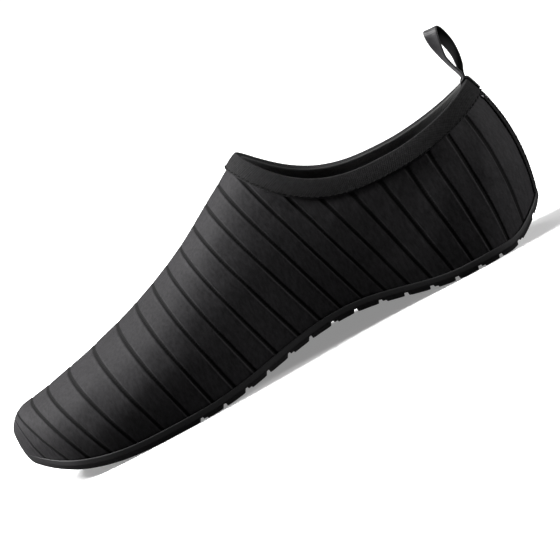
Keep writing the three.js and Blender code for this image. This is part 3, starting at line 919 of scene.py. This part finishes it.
# Three shallow grooves run along the tread.
ACROSS, GROOVE = 40, 0.7
inside, grid, share = fill_grid(sole_rings[0], sole_stations, ACROSS, len(profile) * ring_total)
across = share[1:-1] * 2 - 1
groove_lines = np.array([-0.5, 0.0, 0.5])
near_groove = np.abs(across[:, None] - groove_lines).min(1)
groove_row = GROOVE * (1 - smooth(0.03, 0.06, near_groove))
blank = smooth(0.1, 0.2, sole_stations) * (1 - smooth(0.9, 0.97, sole_stations))
inside[:, :, 2] += groove_row[None, :] * blank[1:-1, None]
top_first = len(profile) * ring_total + inside.shape[0] * ACROSS
top_inside, top_grid, _ = fill_grid(sole_rings[-1], sole_stations, 6, top_first)
top_grid = np.where(top_grid < ring_total, top_grid + (len(profile) - 1) * ring_total, top_grid)
sole_points = np.concatenate([*sole_rings, inside.reshape(-1, 3), top_inside.reshape(-1, 3)])
sole_quads = np.concatenate([
    bands(sole_corner),
    bands(grid.T, closed=False)[:, ::-1],
    bands(top_grid.T, closed=False),
])
outsole = mesh_piece("rubber_outsole", sole_points, sole_quads, rubber.material, sharp=50)
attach(outsole, "root")
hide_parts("outsole")

# %% [markdown]
# ## The insole
# A thin cloth-covered foam sheet lies loose inside. Its edge is rounded by the knife that cuts it,
# and the foam is a little lower in the middle, where the foot presses.

# %% Insole mesh
INSOLE_GAP, INSOLE_CUP = 0.45, 0.35
insole_stations = even(foot_line, 150)
inset = -WALL - INSOLE_GAP
# Rise over the upper's bottom edge and distance off it, in mm.
insole_profile = [
    (0.0, inset - 0.3), (0.25, inset), (1.5, inset),
    (2.1, inset - 0.25), (2.4, inset - 0.8), (INSOLE, inset - 1.6),
]
insole_rings = [ring(insole_stations, rise, by) for rise, by in insole_profile]
insole_total = 2 * (len(insole_stations) - 1)
base = len(insole_profile) * insole_total
insole_corner = np.arange(base).reshape(-1, insole_total)
low_inside, low_grid, _ = fill_grid(insole_rings[0], insole_stations, 8, base)
top_base = base + low_inside.shape[0] * 8
high_inside, high_grid, high_share = fill_grid(insole_rings[-1], insole_stations, 24, top_base)
cup = np.sin(math.pi * high_share[1:-1]) ** 0.6
high_inside[:, :, 2] -= INSOLE_CUP * cup[None, :] * end_cap(insole_stations)[1:-1, None]
high_grid = np.where(high_grid < insole_total, high_grid + base - insole_total, high_grid)
fillings = [low_inside.reshape(-1, 3), high_inside.reshape(-1, 3)]
insole_points = np.concatenate([*insole_rings, *fillings])
insole_quads = np.concatenate([
    bands(insole_corner),
    bands(low_grid.T, closed=False)[:, ::-1],
    bands(high_grid.T, closed=False),
])
insole = mesh_piece(
    "insole_sheet", insole_points, insole_quads, foam.material, insole_points[:, :2]
)
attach(insole, "root")
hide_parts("insole")

# %% [markdown]
# ## The collar binding
# A woven tape is folded over the raw edge of the fabric and sewn down. Its cross-section is swept
# round the collar: at each place two directions are worked out, one off the fabric and one up along
# it, and the profile is laid out in them.

# %% Collar frame


def collar_curve(share, side, drop):
    """Line round the collar, drop below its edge, for a share from 0 at the throat to 1."""
    front = collar_front(drop)
    along = mix(front, 1.0, share)
    up = np.where(share > 0, up_at_height(along, side, collar_height(along, drop)), 1.0)
    return skin(along, side, up)


COLLAR_HALF = 150
collar_share = even(lambda t: collar_curve(t, -1.0, 0.0), COLLAR_HALF)
collar_station, collar_side = ring_corners(COLLAR_HALF)
collar_total = 2 * COLLAR_HALF


def collar_offset(drop, out):
    """The ring at that drop, moved off the fabric, and past its edge where drop is below 0."""
    depth = max(drop, 0.0)
    at = collar_curve(collar_share[collar_station], collar_side, depth)
    lower = collar_curve(collar_share[collar_station], collar_side, depth + 0.5)
    way = np.roll(at, -1, 0) - np.roll(at, 1, 0)
    outwards = unit(np.cross(way, at - lower))
    rising = unit(np.cross(outwards, way))
    return at + rising * (depth - drop) + outwards * out


print("collar round its edge, mm:", round(ring_length(collar_offset(0.0, 0.0)), 1))

# %% Section of the binding tape
OUTER_SEAM, INNER_SEAM = 0.45, 0.7
OUTER_FACE = OUTER_SEAM + TAPE
INNER_FACE = -WALL - INNER_SEAM - TAPE
FOLD, FOLD_ROUND = 1.0, 0.9
OUTER_BULGE, INNER_BULGE = 0.16, 0.1


def outer_bulge(drop):
    """Distance off the skin of the tape's outer face, a little fuller in its middle."""
    return OUTER_FACE + OUTER_BULGE * math.sin(math.pi * (BINDING_OUTSIDE - drop) / BINDING_OUTSIDE)


def inner_bulge(drop):
    """The same on the inside."""
    return INNER_FACE - INNER_BULGE * math.sin(math.pi * drop / BINDING_INSIDE)


# Drop below the collar's edge and distance off the skin, in mm, once round the tape's section.
fold_top = FOLD_ROUND - FOLD
fold_turn = np.radians(np.linspace(0, 90, 6))
fold_outer = [
    (fold_top - FOLD_ROUND * math.sin(a), OUTER_FACE + FOLD_ROUND * (math.cos(a) - 1))
    for a in fold_turn
]
fold_inner = [
    (fold_top - FOLD_ROUND * math.cos(a), INNER_FACE + FOLD_ROUND * (1 - math.sin(a)))
    for a in fold_turn
]
faces_down = [(d, outer_bulge(d)) for d in (7.7, 7.2, 6.7, 6.0, 4.5, 3.0, 1.5)]
faces_in = [(d, inner_bulge(d)) for d in (1.5, 3.0, 4.5, 6.0, 6.7)]
back_face = -WALL - INNER_SEAM
binding_profile = [
    (BINDING_OUTSIDE, 0.5),
    (BINDING_OUTSIDE, OUTER_FACE - 0.25),
    *faces_down,
    *fold_outer,
    *fold_inner,
    *faces_in,
    (BINDING_INSIDE, INNER_FACE + 0.2),
    (BINDING_INSIDE, back_face),
    (BINDING_INSIDE / 2, back_face),
    (0.0, back_face),
    (-SEAM, back_face + 0.1),
    (-SEAM, OUTER_SEAM - 0.1),
    (0.0, OUTER_SEAM),
    (BINDING_OUTSIDE / 2, OUTER_SEAM),
]
print("corners of the tape's section:", len(binding_profile))

# %% Binding mesh
binding_rings = [collar_offset(drop, by) for drop, by in binding_profile]
binding_corner = np.arange(len(binding_profile) * collar_total).reshape(-1, collar_total)
binding_points = np.concatenate(binding_rings)
binding_quads = bands(np.concatenate([binding_corner, binding_corner[:1]]))
middle_ring = binding_rings[4]
step = np.linalg.norm(np.roll(middle_ring, -1, 0) - middle_ring, axis=1)
ring_way = np.concatenate([[0], np.cumsum(step)[:-1]])
profile_step = np.linalg.norm(np.diff(np.array(binding_profile), axis=0), axis=1)
profile_way = np.concatenate([[0], np.cumsum(profile_step)])
binding_cloth = np.stack([
    np.tile(ring_way, len(binding_profile)),
    np.repeat(profile_way, collar_total),
], -1)
# Corners of the tape's inner face, which the material paints lighter as painted light.
inner_face_painted_light = np.array([float(by < INNER_FACE + 0.4) for _, by in binding_profile])
binding = mesh_piece(
    "binding_tape",
    binding_points,
    binding_quads,
    tape.material,
    binding_cloth,
    {"inner": np.repeat(inner_face_painted_light, collar_total)},
    sharp=65,
)
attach(binding, "root")
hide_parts("collar_binding")

# %% [markdown]
# ## The heel tape
# A second tape covers the seam at the back. It is the skin of the upper itself, moved out by the
# thickness of the tape, over the few millimetres on each side of the middle.

# %% Skin over the heel
HEEL_RADIUS = (BALL_WIDTH * SECTION_ROWS[-1, 1]) ** 2 / HEEL_ARC


def along_heel(y):
    """Where the heel is y wide on each side."""
    start = np.full_like(y, 1 - HEEL_ARC / UPPER_LENGTH)
    return halving(lambda at: half_width(at) <= y, start, np.ones_like(y))


def heel_skin(y, row, out):
    """Points over the heel, row from 0 at the rim to 1 at the binding, out mm off the skin."""
    side = np.where(y < 0, -1.0, 1.0)
    along = along_heel(np.abs(y))
    low = up_at_height(along, side, feather_height(along, side) + RIM_RISE + 0.6)
    high = up_at_height(along, side, collar_height(along, BINDING_OUTSIDE + SEAM))
    up = mix(low, high, row)
    here = skin(along, side, up)
    above = skin(along, side, up + 0.01) - here
    level = np.broadcast_to(np.array([0.0, 1.0, 0.0]), here.shape)
    back = unit(np.cross(level, above))
    turn = np.zeros_like(here)
    turn[..., 1] = y / HEEL_RADIUS
    return here + unit(back + turn) * out[..., None]


print("radius of the heel at the back, mm:", round(HEEL_RADIUS, 1))

# %% Heel tape mesh
TAPE_ROWS, TAPE_COLUMNS, TAPE_LENGTH, TAPE_EDGE = 60, 16, 52, 0.25
tape_y = np.sin(np.linspace(-math.pi / 2, math.pi / 2, TAPE_COLUMNS + 1)) * HEEL_TAPE_WIDTH / 2
tape_row = np.linspace(0, 1, TAPE_ROWS + 1)
tape_edge = np.sqrt(np.clip(1 - (tape_y / (HEEL_TAPE_WIDTH / 2)) ** 8, 0, 1))
y_grid, row_grid = np.broadcast_arrays(tape_y[None, :], tape_row[:, None])
outer_row = SEAM + mix(TAPE_EDGE, HEEL_TAPE, tape_edge)
outer_out = np.broadcast_to(outer_row[None, :], y_grid.shape)
tape_outer = heel_skin(y_grid, row_grid, outer_out)
tape_inner = heel_skin(y_grid, row_grid, np.full(y_grid.shape, SEAM))
tape_total = y_grid.size
outer_grid = np.arange(tape_total).reshape(y_grid.shape)
inner_grid = outer_grid + tape_total


def border(grid):
    """Corner numbers round the edge of a grid."""
    return np.concatenate([grid[0], grid[1:-1, -1], grid[-1, ::-1], grid[-2:0:-1, 0]])


tape_points = np.concatenate([tape_outer.reshape(-1, 3), tape_inner.reshape(-1, 3)])
tape_quads = np.concatenate([
    bands(outer_grid, closed=False),
    bands(inner_grid, closed=False)[:, ::-1],
    band(border(inner_grid), border(outer_grid)),
])
tape_cloth = np.stack([row_grid.ravel() * TAPE_LENGTH, y_grid.ravel()], -1)
heel_tape = mesh_piece(
    "heel_seam_tape", tape_points, tape_quads, tape.material, np.tile(tape_cloth, (2, 1)), sharp=65
)
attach(heel_tape, "root")
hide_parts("heel_tape")

# %% [markdown]
# ## The pull loop
# A narrow satin ribbon is sewn to both faces of the binding and stands up as a loop, a little
# twisted. A path of a few points is rounded with a Catmull-Rom curve, and a flat rounded section
# is carried along it.

# %% Loop path

# Back and up as shares of LOOP_BOW and LOOP_HEIGHT, and the turn about the upright in radians.
LOOP_ROUTE = np.array([
    (0.06, 0.085, -0.12), (0.07, 0.17, -0.25), (0.26, 0.3, -0.4), (0.44, 0.48, -0.52),
    (0.52, 0.68, -0.74), (0.4, 0.9, -1.02), (0.0, 1.0, -1.08), (-0.4, 0.93, -1.02),
    (-0.55, 0.74, -0.7), (-0.5, 0.52, -0.34), (-0.27, 0.3, -0.26), (-0.07, 0.17, -0.25),
    (-0.06, 0.085, -0.12),
])


def rounded(route, steps):
    """Catmull-Rom curve: for four points in a row, with t from 0 to 1 between the middle two,
    (2b + (c - a)t + (2a - 5b + 4c - d)t² + (3b - a - 3c + d)t³) / 2."""
    ends = np.concatenate([[2 * route[0] - route[1]], route, [2 * route[-1] - route[-2]]])
    t = np.linspace(0, 1, steps, endpoint=False)[None, :, None]
    a, b, c, d = (ends[k:len(ends) - 3 + k][:, None] for k in range(4))
    curve = 2 * b + (c - a) * t + (2 * a - 5 * b + 4 * c - d) * t**2
    curve = curve + (3 * b - a - 3 * c + d) * t**3
    return np.concatenate([(curve / 2).reshape(-1, route.shape[1]), route[-1:]])


heel_place = COLLAR_HALF
loop_outer = OUTER_FACE + 0.05 + LOOP_THICKNESS / 2
loop_inner = INNER_FACE - 0.05 - LOOP_THICKNESS / 2
root = collar_offset(0.0, (loop_outer + loop_inner) / 2)[heel_place]
# Drop below the collar's edge and distance off the ribbon's place on each face, in mm.
outer_end = [(6.0, 0.0), (3.0, 0.0), (0.4, 0.0), (-0.8, -0.3), (-1.5, -1.1)]
inner_end = [(-1.5, 1.1), (-0.8, 0.3), (0.4, 0.0), (2.5, 0.0), (5.0, 0.0)]
outside = [(*collar_offset(d, loop_outer + by)[heel_place], 0.0) for d, by in outer_end]
inside_end = [(*collar_offset(d, loop_inner + by)[heel_place], 0.0) for d, by in inner_end]
share_back, share_up, turn = LOOP_ROUTE.T
open_loop = np.stack([
    root[0] + LOOP_BOW * share_back * np.cos(turn) - LOOP_LEAN * share_up**2,
    root[1] - LOOP_BOW * share_back * np.sin(turn),
    root[2] + LOOP_HEIGHT * share_up,
    turn,
], -1)
route = rounded(np.concatenate([outside, open_loop, inside_end]), 9)
path, turn = route[:, :3], route[:, 3]
tangent = unit(np.gradient(path, axis=0))
broad = np.stack([np.sin(turn), np.cos(turn), 0 * turn], -1)
thick = unit(np.cross(broad, tangent))
flat = unit(np.cross(tangent, thick))
path_way = np.concatenate([[0], np.cumsum(np.linalg.norm(np.diff(path, axis=0), axis=1))])
print("length of the ribbon, mm:", round(path_way[-1], 1))

# %% Loop mesh
half_w, half_t = LOOP_WIDTH / 2, LOOP_THICKNESS / 2
half_y = np.array([-1, -0.97, -0.86, -0.5, 0, 0.5, 0.86, 0.97])
half_x = np.array([0, 0.7, 1, 0.86, 0.8, 0.86, 1, 0.7])
section_y, section_x = np.append(half_y, -half_y), np.append(half_x, -half_x)
ribbon_rings = path[:, None] + flat[:, None] * (section_y * half_w)[None, :, None]
ribbon_rings = ribbon_rings + thick[:, None] * (section_x * half_t)[None, :, None]
ribbon_corner = np.arange(ribbon_rings.shape[0] * 16).reshape(-1, 16)
ribbon_points = ribbon_rings.reshape(-1, 3)
# Strips across the section close both ends.
cap_first, cap_last = ribbon_corner[0], ribbon_corner[-1]
caps = np.array([
    [cap_first[k], cap_first[15 - k + 1 if k else 0], cap_first[15 - k], cap_first[k + 1]]
    for k in range(8)
])
caps_end = np.array([
    [cap_last[k], cap_last[k + 1], cap_last[15 - k], cap_last[15 - k + 1 if k else 0]]
    for k in range(8)
])
ribbon_cloth = np.stack([np.repeat(path_way, 16), np.tile(section_y * half_w, len(path))], -1)
ribbon_quads = np.concatenate([bands(ribbon_corner), caps, caps_end])
pull_loop = mesh_piece(
    "ribbon_loop",
    ribbon_points,
    ribbon_quads,
    ribbon.material,
    ribbon_cloth,
    # Painted shade: corners of the ribbon's face inside the loop, which the material paints darker.
    {"under": np.tile(section_x < 0, len(path))},
    sharp=60,
)
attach(pull_loop, "root")
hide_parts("pull_loop")

# %% [markdown]
# ## Stitches
# Each stitch is a short thread that dives into the tape at both ends. One stitch is modelled once,
# as a bent rod, and numpy lays copies of it along the seam, each turned to the seam's direction
# and with a little scatter, because no machine sews perfectly.

# %% A row of stitches


def stitches(name, places, ways, outwards, length, radius, material):
    """One mesh of bent rods: a point of the rod is place + way x + outwards (arch + y) + side z."""
    turn = np.linspace(0, math.tau, 6, endpoint=False)
    x = np.linspace(-0.5, 0.5, 6)
    thin = np.sqrt(np.clip(1 - (2 * x) ** 6, 0.02, 1))
    arch = radius * (1 - (2 * x) ** 4) * 1.2 - radius * 0.5
    rod = np.stack(np.broadcast_arrays(
        (x * length)[:, None],
        arch[:, None] + radius * thin[:, None] * np.cos(turn),
        radius * thin[:, None] * np.sin(turn),
    ), -1).reshape(-1, 3)
    sideways = unit(np.cross(ways, outwards))
    axes = np.stack([unit(ways), outwards, sideways], 1)
    points = (places[:, None] + rod[None] @ axes).reshape(-1, 3)
    corner = np.arange(36).reshape(6, 6)
    one = bands(corner)
    ends = np.array([[0, 1, 2, 3], [0, 3, 4, 5], [33, 32, 31, 30], [35, 34, 33, 30]])
    one = np.concatenate([one, ends])
    quads = (one[None] + np.arange(len(places))[:, None, None] * 36).reshape(-1, 4)
    piece = mesh_piece(name, points, quads, material)
    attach(piece, "root")
    return piece


print("random numbers come from one generator:", type(seed).__name__)

# %% Stitches of the binding


def along_ring(line, outwards, pitch, scatter):
    """Places, ways and outward directions at an even pitch round a closed line."""
    closed = np.concatenate([line, line[:1]])
    way = np.concatenate([[0], np.cumsum(np.linalg.norm(np.diff(closed, axis=0), axis=1))])
    number = int(way[-1] / pitch)
    at = (np.arange(number) + 0.5) * way[-1] / number
    at = at + seed.normal(size=number) * scatter
    ahead = np.roll(line, -1, 0) - np.roll(line, 1, 0)

    def pick(values):
        """The values of the line's corners, closed and read at the stitches."""
        ring_values = np.concatenate([values, values[:1]])
        return np.stack([np.interp(at, way, ring_values[:, k]) for k in range(3)], -1)

    return pick(line), unit(pick(ahead)), unit(pick(outwards))


seam_line = collar_offset(7.3, OUTER_FACE + 0.02)
seam_out = unit(collar_offset(6.8, OUTER_FACE + 1.0) - collar_offset(6.8, OUTER_FACE))
stitch_place, stitch_way, stitch_out = along_ring(seam_line, seam_out, 2.7, 0.12)
tilt = unit(stitch_way + 0.22 * np.cross(stitch_out, stitch_way))
stitches(
    "binding_stitches",
    stitch_place,
    tilt,
    stitch_out,
    2.2,
    0.26,
    thread.material,
)

inner_line = collar_offset(5.8, INNER_FACE - 0.05)
inner_out = unit(collar_offset(5.8, INNER_FACE - 1.0) - collar_offset(5.8, INNER_FACE))
stitch_place, stitch_way, stitch_out = along_ring(inner_line, inner_out, 2.7, 0.12)
stitches(
    "inner_stitches",
    stitch_place,
    stitch_way,
    stitch_out,
    2.1,
    0.22,
    thread.material,
)

# %% Stitches of the heel tape
tape_places, tape_ways, tape_outs = [], [], []
for y in (-4.9, 4.9):
    rows = np.linspace(0.03, 0.97, 20)
    ys = np.full(len(rows), y)
    here = heel_skin(ys, rows, np.full(len(rows), SEAM + HEEL_TAPE))
    above = heel_skin(ys, rows + 0.01, np.full(len(rows), SEAM + HEEL_TAPE))
    off = heel_skin(ys, rows, np.full(len(rows), SEAM + HEEL_TAPE + 1))
    tape_places.append(here)
    tape_ways.append(unit(above - here))
    tape_outs.append(unit(off - here))
stitches(
    "tape_stitches",
    np.concatenate(tape_places),
    np.concatenate(tape_ways),
    np.concatenate(tape_outs),
    2.0,
    0.16,
    thread.material,
)

# %% Neck of the loop and white stitch

# Seven threads side by side close the neck of the loop, where its legs meet over the binding.
neck_y = np.linspace(-1, 1, 7)
neck_places = root + np.stack([1.4 * neck_y, 0 * neck_y, 1.9 - 0.75 * neck_y**2], -1)
stitches(
    "neck_stitches",
    neck_places,
    np.tile([0.0, 1.0, 0.0], (7, 1)),
    np.tile([0.0, 0.0, 1.0], (7, 1)),
    6.4,
    0.5,
    thread.material,
)
# One white stitch shows beside the heel tape, just below the binding.
bar_y, bar_row, bar_out = np.array([-6.9]), np.array([0.985]), np.array([SEAM + 0.3])
bar_at = heel_skin(bar_y, bar_row, bar_out)
bar_up = heel_skin(bar_y, bar_row + 0.01, bar_out) - bar_at
bar_off = heel_skin(bar_y, bar_row, bar_out + 1) - bar_at
stitches("white_stitch", bar_at, unit(bar_up), bar_off, 1.5, 0.34, bar_thread.material)

# %% [markdown]
# ## Floor, light and camera
# The shoe is lit as in a product picture: a white room, a soft light high on the toe side that
# draws the sheen along the top of the foot, and a weaker one behind the heel. The camera looks at
# the inner side with a long lens and is rolled, so that the shoe points down to the left.

# %% Floor
FLOOR_HALF = 9.0
signs = ((-1, -1), (1, -1), (1, 1), (-1, 1))
floor_corners = [(x * FLOOR_HALF, y * FLOOR_HALF, 0) for x, y in signs]
floor_mesh = bpy.data.meshes.new("floor")
floor_mesh.from_pydata(floor_corners, [], [(0, 1, 2, 3)])
floor_paint = Paint("floor", Roughness=0.9, Specular_IOR_Level=0.0, Emission_Strength=1.0)
to_camera = floor_paint.node("ShaderNodeLightPath")
floor_paint.set("Base Color", floor_paint.blend(even_grey(0.05), even_grey(0.8), to_camera))
centre_distance = floor_paint.node(
    "ShaderNodeVectorMath", {"operation": "LENGTH"}, {0: floor_paint.place()}, output=1
)
far = floor_paint.node(
    "ShaderNodeMapRange", None, {"Value": centre_distance, "From Min": 0.2, "From Max": 1.6}
)
glow = floor_paint.blend(even_grey(0.26), even_grey(1.05), far)
floor_paint.set("Emission Color", floor_paint.blend(even_grey(0.0), glow, to_camera))
floor_mesh.materials.append(floor_paint.material)
floor = bpy.data.objects.new("floor", floor_mesh)
bpy.context.scene.collection.objects.link(floor)
floor_paint.report()

# %% World
world = bpy.data.worlds.new("white room")
bpy.context.scene.world = world
world.use_nodes = True
nodes, links = world.node_tree.nodes, world.node_tree.links
background = nodes["Background"]
background.inputs["Color"].default_value = (1, 1, 1, 1)
background.inputs["Strength"].default_value = 0.055
seen = nodes.new("ShaderNodeBackground")
seen.inputs["Strength"].default_value = 1.2
rays = nodes.new("ShaderNodeLightPath")
choice = nodes.new("ShaderNodeMixShader")
links.new(rays.outputs["Is Camera Ray"], choice.inputs[0])
links.new(background.outputs[0], choice.inputs[1])
links.new(seen.outputs[0], choice.inputs[2])
links.new(choice.outputs[0], nodes["World Output"].inputs[0])
print("light of the room:", round(background.inputs["Strength"].default_value, 3))

# %% Lights


def area_light(name, spot, target, size, power):
    """Square soft light at spot that points at target."""
    data = bpy.data.lights.new(name, "AREA")
    data.energy, data.shape, data.size = power, "SQUARE", size
    light = bpy.data.objects.new(name, data)
    light.location = Vector(spot)
    light.rotation_euler = (Vector(target) - Vector(spot)).to_track_quat("-Z", "Y").to_euler()
    bpy.context.scene.collection.objects.link(light)
    return light


area_light("ceiling", (-0.45, 0.75, 1.8), (-0.1, 0, 0), 1.6, 12.0)
area_light("toe light", (-0.85, 0.0, 0.85), (-0.2, 0, 0.03), 0.45, 42.0)
area_light("side light", (-1.8, -0.5, 0.5), (-0.1, 0, 0.06), 0.7, 9.5)
area_light("heel light", (1.35, -0.13, 0.38), (0.0, 0, 0.04), 0.4, 20.0)
bpy.context.scene.view_settings.view_transform = "Standard"
print("lights:", [light.name for light in bpy.data.lights])

# %% Camera
AIM = Vector((-0.0913, 0.0, 0.0348))
AZIMUTH, ELEVATION, ROLL = math.radians(3.0), math.radians(7.0), math.radians(28.3)
DISTANCE, PIXELS_PER_MM = 2.3, 2.17
back = Vector((
    math.sin(AZIMUTH) * math.cos(ELEVATION),
    -math.cos(AZIMUTH) * math.cos(ELEVATION),
    math.sin(ELEVATION),
))
camera_data = bpy.data.cameras.new("camera")
camera_data.sensor_width = 36.0
camera_data.lens = 36.0 * DISTANCE / (0.560 / PIXELS_PER_MM)
camera_data.clip_start, camera_data.clip_end = 0.05, 60.0
camera = bpy.data.objects.new("camera", camera_data)
turned = (-back).to_track_quat("-Z", "Y").to_matrix().to_4x4()
rolled = turned @ Matrix.Rotation(-ROLL, 4, "Z")
camera.matrix_world = Matrix.Translation(AIM + back * DISTANCE) @ rolled
bpy.context.scene.collection.objects.link(camera)
bpy.context.scene.camera = camera
print("lens, mm:", round(camera_data.lens, 1))

# %% [markdown]
# ## The finished shoe
